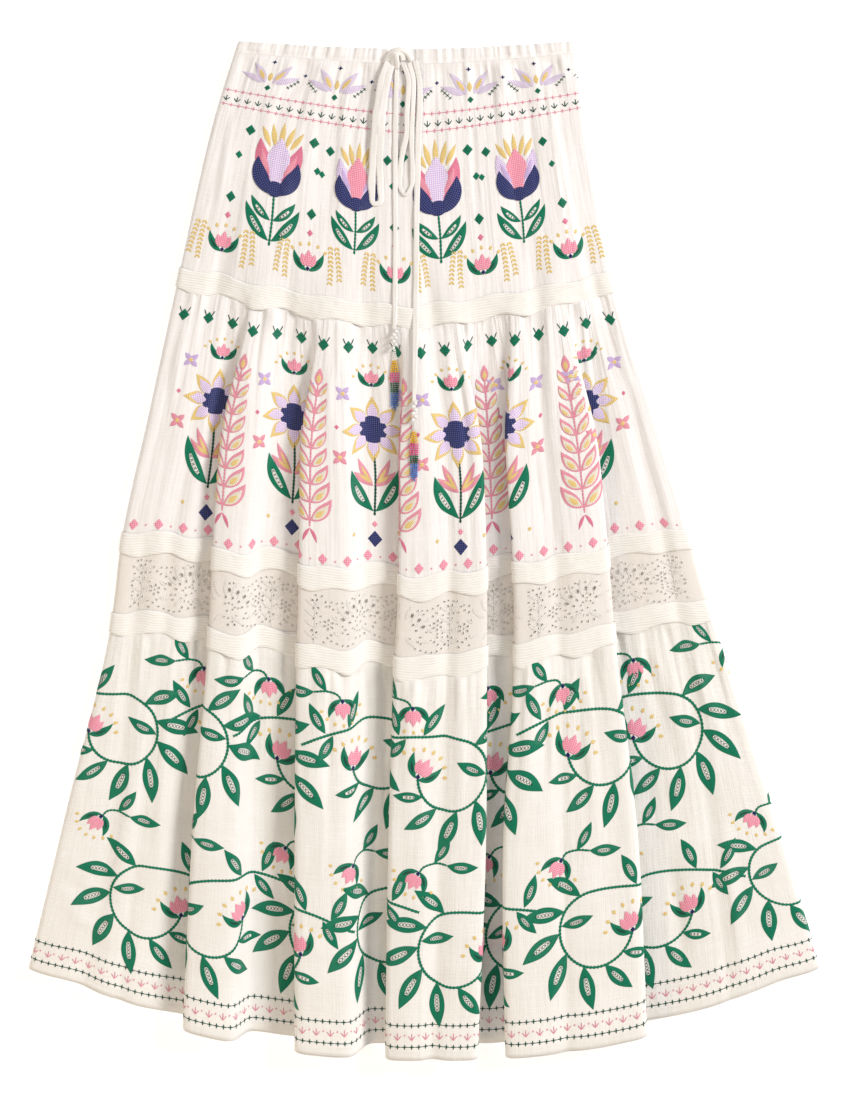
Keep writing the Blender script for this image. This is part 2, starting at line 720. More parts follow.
def tier(piece, material):
    """The front of a tier with its gathers and creases; the last one's hem is turned under."""
    count, first, last, step, gathers_from = TIERS[piece]
    panel = Panel(piece, columns(count, COLUMN_DROPS[piece]), spaced(first, last, step), gathers_from)
    points, uv = panel.points, panel.uv
    if last == HEM_DROP:
        points = np.concatenate([points, turned_edge(points, panel.normals, len(points) - 1, -1)])
        uv = np.concatenate([uv, grain_rows(uv[-1:], HEM_GRAIN)])
    made = grid_mesh(f"{piece}_front_cloth", points, uv, material)
    stand_for(made, f"{piece}_front")
    return panel, made


def casing(material):
    """The gathered casing: a tube of cloth, frilled along its top."""
    panel = Panel(
        "casing", columns(460, COLUMN_DROPS["yoke"]), spaced(0.0, CASING_DROP, 1.9), 0.0, creases=False
    )
    drops = panel.drops[:, None]
    settled = ramp((CASING_DROP - drops) / CASING_SETTLES)[..., None]
    points = panel.flat + (panel.points - panel.flat) * settled
    points[..., 1] += 0.5 * np.exp(-drops / 2.5) * wander(panel.along / 3.4, 0.0, 71) * panel.calm
    row_of_stitches = np.exp(-(((drops - CASING_STITCHES) / 1.3) ** 2))
    points = points - panel.normals * (0.7 * row_of_stitches * panel.calm)[..., None]
    points = np.concatenate([turned_edge(points, panel.normals, 0, 1)[::-1], points])
    uv = np.concatenate([grain_rows(panel.uv[:1], CASING_GRAIN), panel.uv])
    made = grid_mesh("waist_casing_front_cloth", points, uv, material)
    stand_for(made, "waist_casing_front")
    return panel, made


BAND_ROWS = 19
BAND_NEAR = 0.75
BAND_RISE = 0.75
STITCH_ROWS = 7
STITCH_DEPTH = 0.08
PUCKERS = ((0.2, 5.0, 3.0, 7), (0.35, 17.0, 1.5, 8))  # height, length, how many across, and seed


def scalloped(u_columns, drop_line):
    """Drops of a band's two scalloped edges at these columns, and distances along it."""
    u, along = lengths(drop_line)
    here = np.interp(u_columns, u, along)
    phase = 2 * math.pi * here / SCALLOP_LENGTH
    upper = drop_line - BAND_HALF - SCALLOP_DEPTH * 0.6 * np.cos(phase + 0.8)
    lower = drop_line + BAND_HALF + SCALLOP_DEPTH * (1 - 2 * np.abs(np.cos(phase / 2)) ** 1.6)
    return upper, lower, here


def front_band(node, drop_line, material):
    """A scalloped trim band with rows of stitching that waver along it."""
    u = columns(640, (drop_line - 15, drop_line, drop_line + 15))
    upper, lower, along = scalloped(u, drop_line)
    share = np.linspace(0, 1, BAND_ROWS)[:, None]
    drop = upper + (lower - upper) * share
    flat = place(np.broadcast_to(u, drop.shape), drop)
    rounded = np.clip(np.minimum(share, 1 - share) * 14, 0, 1) ** 0.5
    seed = int(drop_line)
    waver = 0.16 * wander(along / 26.0, share * 2.0, seed) + 0.3 * wander(along / 90.0, 0.0, 5)
    rows = np.cos(2 * math.pi * (STITCH_ROWS * share + waver * 3))
    puckers = sum(
        high * wander(along / long, share * wide, number + seed) for high, long, wide, number in PUCKERS
    )
    relief = rounded * (STITCH_DEPTH * rows + puckers) * (0.4 + 0.6 * calmness(flat))
    height = BAND_NEAR + BAND_RISE * rounded + relief
    points = flat + grid_normals(flat) * height[..., None]
    made = grid_mesh(f"{node}_tape", points, np.stack([along + 0 * drop, drop], axis=-1), material)
    stand_for(made, node)
    return made


# Lace

LACE_REPEAT = 96.0
PETALS = 7
PETAL_FIRST, PETAL_STEP = 18.0, 24.0
FAN_RADIUS = (21.0, 19.0)
FAN_HEIGHT = 0.56
LACE_CALM = 0.2
# Wavy chains of small eyelets that fill the ground: drop, and where the wave starts
LACE_CHAINS = ((20.0, 0.1), (28.0, 0.6), (37.0, 0.2), (45.0, 0.75), (54.0, 0.35), (62.0, 0.9))
CHAIN_STEP = 5.4
Eyelet = namedtuple("Eyelet", "x y heading length width")


def lace_eyelets(width, depth):
    """The eyelets of the strip: fans of petals, small flowers and sprigs between them."""
    repeats, start = centred(width, LACE_REPEAT, 0.0)
    found, middle_y = [], FAN_HEIGHT * depth

    def fan(x, y, count, first, step, radius, length, wide):
        for k in range(count):
            a = math.radians(first + step * k)
            spot = (x + radius[0] * math.cos(a), y - radius[1] * math.sin(a))
            found.append(Eyelet(*spot, a, length, wide))

    def flower(x, y, turn):
        fan(x, y, 6, turn, 60, (4.4, 4.4), 3.0, 1.9)
        found.append(Eyelet(x, y, 0.0, 1.7, 1.7))

    for r in range(-1, repeats + 1):
        x = start + r * LACE_REPEAT
        if 0 <= r < repeats:
            fan(x, middle_y, PETALS, PETAL_FIRST, PETAL_STEP, FAN_RADIUS, 4.6, 3.3)
        fan(x, middle_y, 6, 12, 31, (13.5, 12.0), 3.2, 2.1)
        fan(x, middle_y, 13, 0, 15, (28.0, 25.5), 1.9, 1.9)
        fan(x, middle_y, 5, 22, 34, (6.5, 6.0), 1.9, 1.6)
        fan(x, middle_y + 2, 9, 190, 20, (18.0, 13.5), 2.6, 1.7)
        fan(x, middle_y + 2, 5, 214, 28, (9.0, 7.0), 1.8, 1.6)
        between = x + 0.5 * LACE_REPEAT
        flower(between, 26.0, 10)
        flower(between - 2, 57.0, 40)
        for side in (-1, 1):
            flower(between + 13.5 * side, 42.0 + 3 * side, 25)
            for k in range(4):
                lift = 1.5 * math.sin(1.1 * k)
                spot = (between + side * (6.5 + 4.0 * k), 17.5 + 4.0 * k + lift)
                found.append(Eyelet(*spot, 0.7 * side, 2.6, 1.7))
                spot = (between + side * (9.0 + 3.6 * k), 63.0 - 3.4 * k - lift)
                found.append(Eyelet(*spot, -0.7 * side, 2.3, 1.6))
        for k in range(3):
            found.append(Eyelet(between + 1.5 * (-1) ** k, 35.0 + 5.6 * k, 1.57, 2.4, 1.7))
    for row, phase in LACE_CHAINS:
        for x in np.arange(9.0, width, CHAIN_STEP):
            swing = math.sin(2 * math.pi * (2 * x / LACE_REPEAT + phase))
            found.append(Eyelet(float(x), row + 3.0 * swing, 0.6 * swing, 2.1, 1.6))
    kept = []
    for e in found:
        apart = all(math.hypot(e.x - o.x, e.y - o.y) > 0.5 * (e.length + o.length) + 0.9 for o in kept)
        if apart and 13 < e.y < depth - 13 and 7 < e.x < width - 7:
            kept.append(e)
    return kept


def oval(eyelet, sides, grow=0.0):
    """Points round an eyelet, in flat millimetres."""
    a = np.arange(sides) * 2 * math.pi / sides
    p = (0.5 * eyelet.length + grow) * np.cos(a)
    q = (0.5 * eyelet.width + grow) * np.sin(a)
    cos, sin = math.cos(eyelet.heading), math.sin(eyelet.heading)
    return np.stack([eyelet.x + p * cos + q * sin, eyelet.y - p * sin + q * cos], axis=1)


EYELET_SIDES = 8
RIM_RINGS = ((0.0, -0.3), (-0.15, 0.2), (0.3, 0.4), (0.7, 0.08))  # outwards, and above the cloth
RIM_ROOM = 0.9  # round an eyelet that the cloth's own points keep clear of
LACE_TOP, LACE_BOTTOM = BAND_2_DROP + JOINT, BAND_3_DROP - JOINT


def cut_cloth(flat, border, eyelets):
    """Flat points and triangles of cloth with its eyelets cut out."""
    clear = np.ones(len(flat), bool)
    for eyelet in eyelets:
        away = np.hypot(flat[:, 0] - eyelet.x, flat[:, 1] - eyelet.y)
        clear &= away > 0.5 * eyelet.length + RIM_ROOM
    points, edges = flat[clear | border].tolist(), []
    for eyelet in eyelets:
        ring = range(len(points), len(points) + EYELET_SIDES)
        points += oval(eyelet, EYELET_SIDES).tolist()
        edges += zip(ring, [*ring[1:], ring[0]])
    made = delaunay_2d_cdt([tuple(p) for p in points], edges, [], 0, 1e-6)
    flat = np.array([tuple(p) for p in made[0]])
    faces = np.array([f for f in made[2] if len(f) == 3])
    centre = flat[faces].mean(axis=1)
    kept = np.ones(len(faces), bool)
    for eyelet in eyelets:
        near = centre - [eyelet.x, eyelet.y]
        cos, sin = math.cos(eyelet.heading), math.sin(eyelet.heading)
        p = (near[:, 0] * cos - near[:, 1] * sin) / (0.5 * eyelet.length)
        q = (near[:, 0] * sin + near[:, 1] * cos) / (0.5 * eyelet.width)
        kept &= p * p + q * q > 0.93
    return flat, faces[kept]


def lace(material, rim_material):
    """Broderie anglaise: cotton with eyelets cut through and rims stitched round them."""
    drops = spaced(LACE_TOP, LACE_BOTTOM, 4.0)
    panel = Panel("lace", columns(560, COLUMN_DROPS["lace"]), drops, 0.0)
    across, depth = panel.along[len(drops) // 2], LACE_BOTTOM - LACE_TOP
    numbers = np.arange(len(across))
    eyelets = []
    for eyelet in lace_eyelets(across[-1], depth):
        near = np.interp([eyelet.x - 3, eyelet.x, eyelet.x + 3], across, numbers)
        if panel.look(panel.calm, panel.row_at(LACE_TOP + eyelet.y), near).min() > LACE_CALM:
            eyelets.append(eyelet)
    flat = np.stack(np.meshgrid(across, drops - LACE_TOP), axis=-1).reshape(-1, 2)
    border = (flat[:, 1] < 0.01) | (flat[:, 1] > depth - 0.01)
    flat, faces = cut_cloth(flat, border, eyelets)

    def laid(flat_points, height):
        """Flat points of the strip, laid on its cloth."""
        col = np.interp(flat_points[..., 0], across, numbers)
        return panel.above(panel.row_at(LACE_TOP + flat_points[..., 1]), col, height)

    sheet = new_mesh("lace_front_cloth", laid(flat, 0.0), faces, flat + [0, LACE_TOP], material)
    stand_for(sheet, "lace_front")
    rings = [(oval(eyelet, EYELET_SIDES, out), up) for eyelet in eyelets for out, up in RIM_RINGS]
    rim_faces, step = [], len(RIM_RINGS) * EYELET_SIDES
    for first in range(0, len(eyelets) * step, step):
        rim_faces += tube_faces(len(RIM_RINGS), EYELET_SIDES, first)[:-2]
    rims = new_mesh(
        "lace_front_rims",
        np.concatenate([laid(ring, up) for ring, up in rings]),
        rim_faces,
        np.concatenate([ring for ring, _ in rings]),
        rim_material,
    )
    add_to(rims)
    return panel, sheet, rims


# Stitching

ALONG_STEP = 2.2
ACROSS_STEP = 2.4
LIFT = 0.22  # of a stitched shape's edge above the cloth
SLOT = slice(6, 19)  # of a worked leaf's 27 points, from foot to tip
SLOT_STITCHES = (8, 17)


def arc(x, y, heading, length, bend=0.0, count=None):
    """Points of an arc from (x, y). heading and bend, the turn from end to end, in degrees."""
    count = count or max(4, int(math.ceil(length / ALONG_STEP)) + 1)
    angle = np.radians(heading + bend * np.linspace(0, 1, count))
    steps = np.stack([np.cos(angle), np.sin(angle)], axis=1) * (length / (count - 1))
    middle = 0.5 * (steps[1:] + steps[:-1])
    return np.array([x, y]) + np.concatenate([[[0, 0]], np.cumsum(middle, axis=0)])


def toward(heading, reach=1.0):
    """The step this far along a heading in degrees."""
    a = math.radians(heading)
    return reach * np.array([math.cos(a), math.sin(a)])


def way_at(line, k):
    """A line's heading at its point k, in degrees."""
    return math.degrees(math.atan2(*(line[k + 1] - line[k])[::-1]))


def smooth_line(points, run, at):
    """Points of a smooth line, at distances of a run through known points."""
    return np.stack([smooth(at, run, values) for values in points.T], axis=-1)


class Pen:
    """Draws raised stitching on a panel, in millimetres from the middle of a motif.

    x runs along the cloth to the right and y down it. Headings are in degrees, from
    x towards y, so -90 is up.
    """

    def __init__(self, panel, piece):
        self.panel, self.piece = panel, piece
        self.shapes = {}
        self.move(100.0, panel.drops[1])

    def move(self, along, drop, turn=0.0, size=1.0, mirror=1):
        self.column, self.drop = float(self.panel.column_at(along, drop)), drop
        self.turn, self.size, self.mirror = math.radians(turn), size, mirror

    def ribbon(self, colour, line, half, lift=LIFT, rise=0.33):
        """Stitches across a line, with half its width at each point."""
        line, half = np.asarray(line, float), np.broadcast_to(np.asarray(half, float), (len(line),))
        ahead = unit(np.gradient(line, axis=0))
        side = np.stack([-ahead[:, 1], ahead[:, 0]], axis=1)
        count = max(3, int(math.ceil(2 * half.max() * self.size / ACROSS_STEP)) + 1)
        across = np.linspace(-1, 1, count)[:: self.mirror]
        local = line[:, None] + side[:, None] * (across[None, :, None] * half[:, None, None])
        x, y = local[..., 0] * self.mirror, local[..., 1]
        cos, sin = math.cos(self.turn), math.sin(self.turn)
        dx, dy = self.size * (cos * x - sin * y), self.size * (sin * x + cos * y)
        height = lift + rise * (1 - across**2)[None, :] * np.clip(half / 0.9, 0, 1)[:, None]
        uv = np.stack(
            np.broadcast_arrays(run_of(line)[:, None], across[None, :] * half[:, None]), axis=-1
        )
        self.shapes.setdefault(colour, []).append((self.column, dx, self.drop + dy, height, uv))

    def leaf(self, colour, x, y, heading, length, width, bend=0.0, full=0.9, lift=LIFT):
        """A leaf or petal from its foot at (x, y). full below 1 puts its widest part nearer the tip."""
        line = arc(x, y, heading, length, bend)
        t = np.linspace(0, 1, len(line))
        self.ribbon(colour, line, 0.5 * width * np.sin(math.pi * t**full) + 0.02, lift)

    def disc(self, colour, x, y, across, tall, lift=LIFT):
        count = max(7, int(math.ceil(tall / 1.6)) + 1)
        t = 0.5 - 0.5 * np.cos(math.pi * np.linspace(0, 1, count))
        line = np.stack([np.full(count, float(x)), y + tall * (t - 0.5)], axis=1)
        self.ribbon(colour, line, 0.5 * across * np.sqrt(np.clip(4 * t * (1 - t), 0, 1)) + 0.02, lift)

    def diamond(self, colour, x, y, reach, lift=LIFT):
        t = np.linspace(-1, 1, 5 if reach < 4 else 7)
        line = np.stack([np.full(len(t), float(x)), y + reach * t], axis=1)
        self.ribbon(colour, line, 0.86 * reach * (1 - np.abs(t)) + 0.02, lift)

    def bar(self, colour, x, y, heading, length, width=1.0, lift=0.26):
        line = arc(x, y, heading, length, 0.0, 3)
        self.ribbon(colour, line, 0.5 * width * np.array([0.7, 1.0, 0.7]), lift)

    def plus(self, colour, x, y, reach, width):
        self.bar(colour, x - reach, y, 0, 2 * reach, width)
        self.bar(colour, x, y - reach, 90, 2 * reach, width)

    def sprig(self, colour, size):
        """Three small stitches that point up from a foot."""
        for spread in (-38, 0, 38):
            self.bar(colour, 0, 0, -90 + spread, size * (4.2 if spread else 5.2))

    def stem(self, colour, points, width=1.5):
        """Chain stitch along a smooth line through points."""
        points = np.asarray(points, float)
        run = run_of(points)
        line = smooth_line(points, run, np.linspace(0, run[-1], int(math.ceil(run[-1] / 1.8)) + 1))
        swell = 1.0 + 0.28 * np.cos(math.pi * np.arange(len(line)))
        self.ribbon(colour, line, 0.5 * width * swell, 0.25, 0.3)

    def worked_leaf(self, x, y, heading, length, width, bend=0.0):
        """A green leaf with an open slot down its middle, crossed by dark stitches."""
        self.leaf("green", x, y, heading, length, width, bend, 0.95)
        spine = arc(x, y, heading, length, bend, 27)
        slot = spine[SLOT]
        swell = np.sin(math.pi * np.linspace(0.06, 0.94, len(slot))) ** 0.5
        self.ribbon("dark_green", slot, 0.225 * width * swell, 0.46, 0.1)
        self.ribbon("white", slot[1:-1], 0.165 * width * swell[1:-1], 0.56, 0.1)
        long = 0.3 * width
        for k in range(*SLOT_STITCHES, 2 if length > 30 else 3):
            for slant in (52, -52):
                across = way_at(spine, k) + slant
                self.bar("dark_green", *(spine[k] - toward(across, 0.5 * long)), across, long, 0.62, 0.7)

    def feather(self, colour, x, y, heading, length):
        """A line of stitching with short stitches across it."""
        self.bar(colour, x, y, heading, length, 0.8)
        for reach in np.arange(1.5, length, 4.0):
            start = np.array([x, y]) + toward(heading, reach) - toward(heading + 90, 2.0)
            self.bar(colour, *start, heading + 90, 4.0, 0.9, 0.4)

    def on_cloth(self, along, drop):
        """The longest run of a shape's rows that lies within the panel's edges."""
        drops = self.panel.drops
        within = (along > 2) & (along < np.interp(drop, drops, self.panel.along[:, -1]) - 2)
        within &= (drop > drops[0]) & (drop < drops[-1] - 1)
        changes = np.flatnonzero(np.diff([0, *within.all(axis=1).astype(int), 0]))
        runs = [*zip(changes[::2], changes[1::2]), (0, 0)]
        return slice(*max(runs, key=lambda run: run[1] - run[0]))

    def finish(self):
        """One piece for each colour drawn."""
        made, panel = [], self.panel
        for colour, shapes in self.shapes.items():
            points, faces, uvs, first = [], [], [], 0
            for column, dx, drop, height, uv in shapes:
                middle = panel.look(panel.along, panel.row_at(drop), np.full(drop.shape, column))
                kept = self.on_cloth(middle + dx, drop)
                if kept.stop - kept.start < 3:
                    continue
                along, drop = (middle + dx)[kept], drop[kept]
                points.append(panel.on(along, drop, height[kept]).reshape(-1, 3))
                faces.append(grid_faces(*drop.shape, first))
                uvs.append(uv[kept].reshape(-1, 2))
                first += drop.size
            name = f"{self.piece}_stitching_{colour}"
            piece = new_mesh(name, *map(np.concatenate, (points, faces, uvs)), THREADS[colour])
            add_to(piece)
            made.append(piece)
        return made


# Motifs

def mirrored(draw, *leaves):
    """Draws leaves and their mirror images.

    Each has a colour where draw takes one, x, y, degrees from up, length, width, bend,
    and what more draw takes.
    """
    for side in (-1, 1):
        for leaf in leaves:
            colour = [value for value in leaf[:1] if isinstance(value, str)]
            x, y, spread, length, width, bend, *rest = leaf[len(colour):]
            draw(*colour, side * x, y, -90 + side * spread, length, width, side * bend, *rest)


def small_tulip(pen, x, y, turn=0.0, size=1.0):
    """A pink bloom between two sepals, with a navy foot and an arc of yellow stitches."""
    cos, sin = toward(turn)

    def spot(px, py):
        return x + size * (cos * px - sin * py), y + size * (sin * px + cos * py)

    def leaf(colour, px, py, heading, length, width, *rest):
        pen.leaf(colour, *spot(px, py), turn + heading, size * length, size * width, *rest)

    mirrored(
        leaf,
        ("green", 1.0, 2.0, 66, 23, 6.6, -58),
        ("dark_green", 5.0, -0.6, 56, 11, 2.2, -30, 0.9, 0.6),
        ("pink_lattice", 2.2, -2.0, 27, 12.5, 7.2, -16, 0.7, 0.3),
    )
    leaf("pink_lattice", 0, -2.0, -90, 15.5, 9.5, 0, 0.6, 0.34)
    pen.diamond("navy", *spot(0, 0), 2.4 * size, 0.5)
    for k in range(-3, 4):
        reach = toward(22 * k - 90)
        leaf("yellow", 20.5 * reach[0], 19.5 * reach[1] - 1, -90 + 22 * k, 4.6, 3.2)


def wheat(pen, x, y, heading, length, bend):
    """A hanging spray of yellow grains, in pairs along a line."""
    line = arc(x, y, heading, length, bend)
    for k in range(1, len(line) - 1, 2):
        for side in (-1, 1):
            pen.leaf("yellow", *line[k], way_at(line, k) + side * 36, 4.6, 2.2)


def daisy(pen, size):
    """A round flower: lilac petals tipped with yellow about a navy middle."""
    for heading in range(-90, 270, 45):
        foot = toward(heading, 8.5 * size)
        pen.leaf("yellow", *foot, heading, 23 * size, 12.0 * size, 0, 0.75, 0.16)
        pen.leaf("lilac_lattice", *foot, heading, 17.5 * size, 9.8 * size, 0, 0.8, 0.34)
    pen.disc("navy_lattice", 0, 0, 26 * size, 26 * size, 0.45)


def star_flower(pen, x, y, colour):
    """A small bloom of four petals about a yellow middle."""
    for k in range(4):
        pen.leaf(colour, x, y, 45 + 90 * k, 9.5, 5.4, 0, 0.8)
    pen.disc("yellow", x, y, 4.2, 4.2, 0.5)


def branch(pen, height):
    """An upright branch of open leaves outlined in pink, with yellow hearts."""
    pen.stem("pale_pink", arc(0, 0, -90, height)[::4], 1.6)
    pairs = int(height // BRANCH_STEP)
    for k in range(pairs):
        foot = -height * (k + 0.3) / pairs
        taper = 1.0 - 0.5 * k / pairs
        long, spread = 33 * taper, 60 - 16 * k / pairs
        mirrored(
            pen.leaf,
            ("pale_pink", 0, foot, spread, long, 12.5 * taper, -36),
            ("cream_satin", 2, foot - 1.5, spread, 0.74 * long, 8.2 * taper, -30, 0.9, 0.45),
            ("yellow", 5, foot - 3.4, spread - 6, 0.42 * long, 5.6 * taper, -14, 0.8, 0.62),
        )
    pen.leaf("pale_pink", 0, 2 - height, -90, 19, 8)
    pen.leaf("yellow", 0, -1 - height, -90, 10, 4.4, lift=0.5)


# Petals' colours of the two kinds of tall flower: middle, outer, and outer's middle
TULIPS = (("lilac_lattice", "pink", "pale_pink"), ("pink_lattice", "lilac_lattice", "lilac"))


def big_tulip(pen, kind):
    """A tall flower: a latticed petal in a navy cup, side petals and yellow stamens."""
    middle, outer, inner = TULIPS[kind]
    for k in (-2, -1, 0, 1, 2):
        pen.leaf("yellow", 4.6 * k, -32, -90 + 14 * k, 27 - 2.6 * abs(k), 5.0, 0)
    mirrored(pen.leaf, (outer, 3, -1, 42, 42, 15, -38, 0.8, 0.3), (inner, 6, -7, 40, 25, 5.5, -30, 0.8, 0.6))
    pen.leaf(middle, 0, 2, -90, 45, 25, 0, 0.72, 0.45)
    mirrored(pen.leaf, ("navy_lattice", 0.6, 11, 62, 39, 14.5, -66, 0.95, 0.62))
    pen.disc("navy_lattice", 0, 6, 17, 14, 0.66)
    pen.stem("green", [(0, 12), (0.6, 30), (0, 56)], 1.9)
    mirrored(pen.worked_leaf, (1.0, 52, 58, 40, 10.5, -40), (1.0, 34, 66, 28, 8.0, -40))


def lattice_diamond(pen, x, y, reach):
    pen.diamond("green", x, y, reach)
    for k in (-1, 0, 1):
        pen.bar("dark_green", x - 0.5 * reach, y + 0.33 * reach * k, 0, reach, 0.5, 0.6)


# Where the rows of the borders and motifs lie, as drops from the waist, and their steps
CROWNS, CROWN_PITCH = 47.0, 67.0
YOKE_ROWS = (66.0, 84.0)
YOKE_SPRIG_FOOT = 79.5
YOKE_FLOWER, YOKE_PITCH = 156.0, 82.0
YOKE_LOW = 231.0
TIER_2_TOP_ROW, TIER_2_LOW_ROW = 303.0, 517.0
TIER_2_FLOWER, TIER_2_PITCH = 388.0, 122.0
BRANCH_FOOT, BRANCH_HEIGHT, BRANCH_STEP = 486.0, 142.0, 16.0
HEM_ROWS = (HEM_DROP - 34.5, HEM_DROP - 13.5)
HEM_SPRIG = HEM_DROP - 20.0


def centred(width, step, margin=8.0):
    """How many steps go into a width, and where the first of them lies."""
    count = int((width - margin) // step)
    return count, 0.5 * (width - step * (count - 1))


def along_rows(pen, drop, step, draw):
    """Calls draw(number) with the pen at even steps along a row of the cloth."""
    count, start = centred(pen.panel.width_at(drop), step)
    for number in range(count):
        pen.move(start + step * number, drop)
        draw(number)


def between_rows(pen, drop, step, lower, draw):
    """Calls draw() with the pen on a lower row, halfway between the steps of along_rows."""
    width = pen.panel.width_at(drop)
    count, start = centred(width, step)
    for number in range(-1, count):
        along = start + step * (number + 0.5)
        if 12 < along < width - 12:
            pen.move(along * pen.panel.width_at(lower) / width, lower)
            draw()


def crosses(pen, drop, colour, step, reach, width, thin):
    """A row of crosses joined by small stitches."""
    along_rows(pen, drop, step, lambda n: pen.plus(colour, 0, 0, reach, width))
    along_rows(pen, drop, 0.5 * step, lambda n: pen.bar(colour, -0.25 * step, 0, 0, 0.5 * step, thin))


def yoke_stitching(panel):
    pen = Pen(panel, "yoke")
    for row in YOKE_ROWS:
        crosses(pen, row, "pale_pink", 7.6, 2.1, 1.2, 0.8)
    along_rows(pen, YOKE_SPRIG_FOOT, 10.7, lambda n: pen.sprig("dark_green", 1.25))

    def crown(number):
        mirrored(
            pen.leaf,
            ("pale_lilac", 4, 3, 24, 29, 8.6, 16, 0.8),
            ("yellow", 5.5, -1, 26, 15, 4.2, 10, 0.9, 0.55),
            ("pale_lilac", 7, 3, 58, 25, 7.0, 12, 0.8),
        )
        for side in (-1, 1):
            pen.feather("dark_green", 33.5 + side * 4.5, -5, 90 - side * 44, 15)
        pen.leaf("yellow", 0, 0, -90, 11, 4.6)
        pen.plus("navy", 0, -24, 2.1, 1.6)
        pen.plus("navy", 33.5, -12, 1.9, 1.5)
        lattice_diamond(pen, 0, 8.5, 3.6)

    def flower(number):
        pen.size = (1.08, 0.96)[number % 2]
        big_tulip(pen, number % 2)
        for side in (-1, 1):
            lattice_diamond(pen, side * 30, -44, 5.6)
            pen.diamond("green", side * 37, -18, 3.8)

    def low():
        small_tulip(pen, 0, 0, 0, 1.05)
        for side in (-1, 1):
            wheat(pen, side * 21, -27, 90 - side * 8, 38, side * 10)
            wheat(pen, side * 27, -27, 90 - side * 14, 36, side * 10)
        lattice_diamond(pen, 0, -52, 5.6)
        pen.diamond("pink", 0, -34, 3.4)

    along_rows(pen, CROWNS, CROWN_PITCH, crown)
    along_rows(pen, YOKE_FLOWER, YOKE_PITCH, flower)
    between_rows(pen, YOKE_FLOWER, YOKE_PITCH, YOKE_LOW, low)
    return pen.finish()


def tier_2_stitching(panel):
    pen = Pen(panel, "tier_2")

    def top(number):
        lattice_diamond(pen, 0, 0, 6.4)
        for side in (-1, 1):
            pen.bar("dark_green", side * 3.0, -3.0, -90 + side * 24, 6.0, 1.1)

    def low(number):
        if number % 2 == 0:
            pen.diamond("pink_lattice", 0, 0, 5.6)
        else:
            pen.plus("pale_pink", 0, 1, 1.1, 0.9)

    def flower(number):
        pen.stem("dark_green", [(0, 12), (1.5, 45), (0, 88)], 2.0)
        daisy(pen, 1.08)
        mirrored(pen.worked_leaf, (1.0, 84, 50, 52, 13.5, -44))
        mirrored(
            pen.leaf,
            ("pale_pink", 1.0, 58, 38, 33, 7.4, -20),
            ("yellow", 2.5, 55, 38, 0.62 * 33, 3.2, -14, 0.9, 0.55),
            ("pale_pink", 1.0, 58, 62, 27, 7.4, -20),
            ("yellow", 2.5, 55, 62, 0.62 * 27, 3.2, -14, 0.9, 0.55),
        )
        pen.diamond("pink_lattice", 0, 97, 3.4)
        pen.diamond("navy_lattice", 0, 112, 8.4)
        small_tulip(pen, 0, -46, 0, 0.9)
        for side in (-1, 1):
            star_flower(pen, side * 31, -38, "lilac")
            pen.diamond("pink", side * 39, -4, 2.6)
            star_flower(pen, side * 37, 26, "pale_pink")
            pen.diamond("yellow", side * 24, 104, 2.4)

    def between():
        branch(pen, BRANCH_HEIGHT)
        for side in (-1, 1):
            pen.leaf("pink", 0, 2, 90 - side * 40, 16, 3.4, side * 26)

    along_rows(pen, TIER_2_TOP_ROW, 25.0, top)
    along_rows(pen, TIER_2_LOW_ROW, 12.5, low)
    along_rows(pen, TIER_2_FLOWER, TIER_2_PITCH, flower)
    between_rows(pen, TIER_2_FLOWER, TIER_2_PITCH, BRANCH_FOOT, between)
    return pen.finish()


# Leaves outside a ring of vine: degrees round it from the right, and length
RING_LEAVES = ((-62, 40), (-28, 44), (4, 46), (38, 46), (72, 44), (106, 38), (138, 30))
# The vine that runs into the ring, in ring radii, and its leaves round a ring this large:
# foot, heading and length
FEED = ((-2.45, -0.56), (-1.9, -0.78), (-1.2, -0.97), (-0.5, -1.03))
FEED_RING = 38.0
FEED_LEAVES = ((-66, -34, -122, 33), (-40, -39, -68, 35), (-58, -32, 118, 31))
LEAF_SHARE = 0.35  # a leaf's width, of its length


def scroll(pen, radius):
    """A vine that runs in from the left and curls into a ring that ends in a bloom."""
    ring = np.array([toward(angle, radius) for angle in np.linspace(-84, 172, 24)])
    pen.stem("green", [*(radius * np.array(FEED)), *ring], 2.5)
    for angle, length in RING_LEAVES:
        pen.worked_leaf(*toward(angle, radius), angle + 26, length, LEAF_SHARE * length, 14)
    for x, y, heading, length in FEED_LEAVES:
        foot = np.array([x, y]) * radius / FEED_RING
        pen.worked_leaf(*foot, heading, length, LEAF_SHARE * length, 12)
    pen.worked_leaf(0.96 * radius, -0.1 * radius, -168, 33, 11.5, 10)
    small_tulip(pen, *ring[-1], 24, 1.2)


def hanging_bloom(pen, turn):
    """A bloom that hangs from a short stem with two leaves."""
    small_tulip(pen, 0, 0, turn, 1.1)
    pen.stem("green", [(0, 2), (-5, -6), (-16, -9), (-30, -7)], 2.1)
    pen.worked_leaf(-30, -7, 168, 34, 12, 14)
    pen.worked_leaf(-17, -9, -128, 31, 11, 14)


SCROLL_PITCH = 118.0
# Rows of scrolls: drop, a ring's radius, which way it curls, where the row starts, and
# how far above it blooms hang and which way they turn
SCROLL_ROWS = ((722.0, 35.0, 1, 0.35, 66, 176), (893.0, 37.0, -1, 0.85, 74, 150))
# Each scroll's turn in degrees, and how far down it is moved
SCROLL_TURNS = ((5, 4), (-9, -5), (3, 7), (-5, -7), (9, 2), (-7, 6), (4, -4))


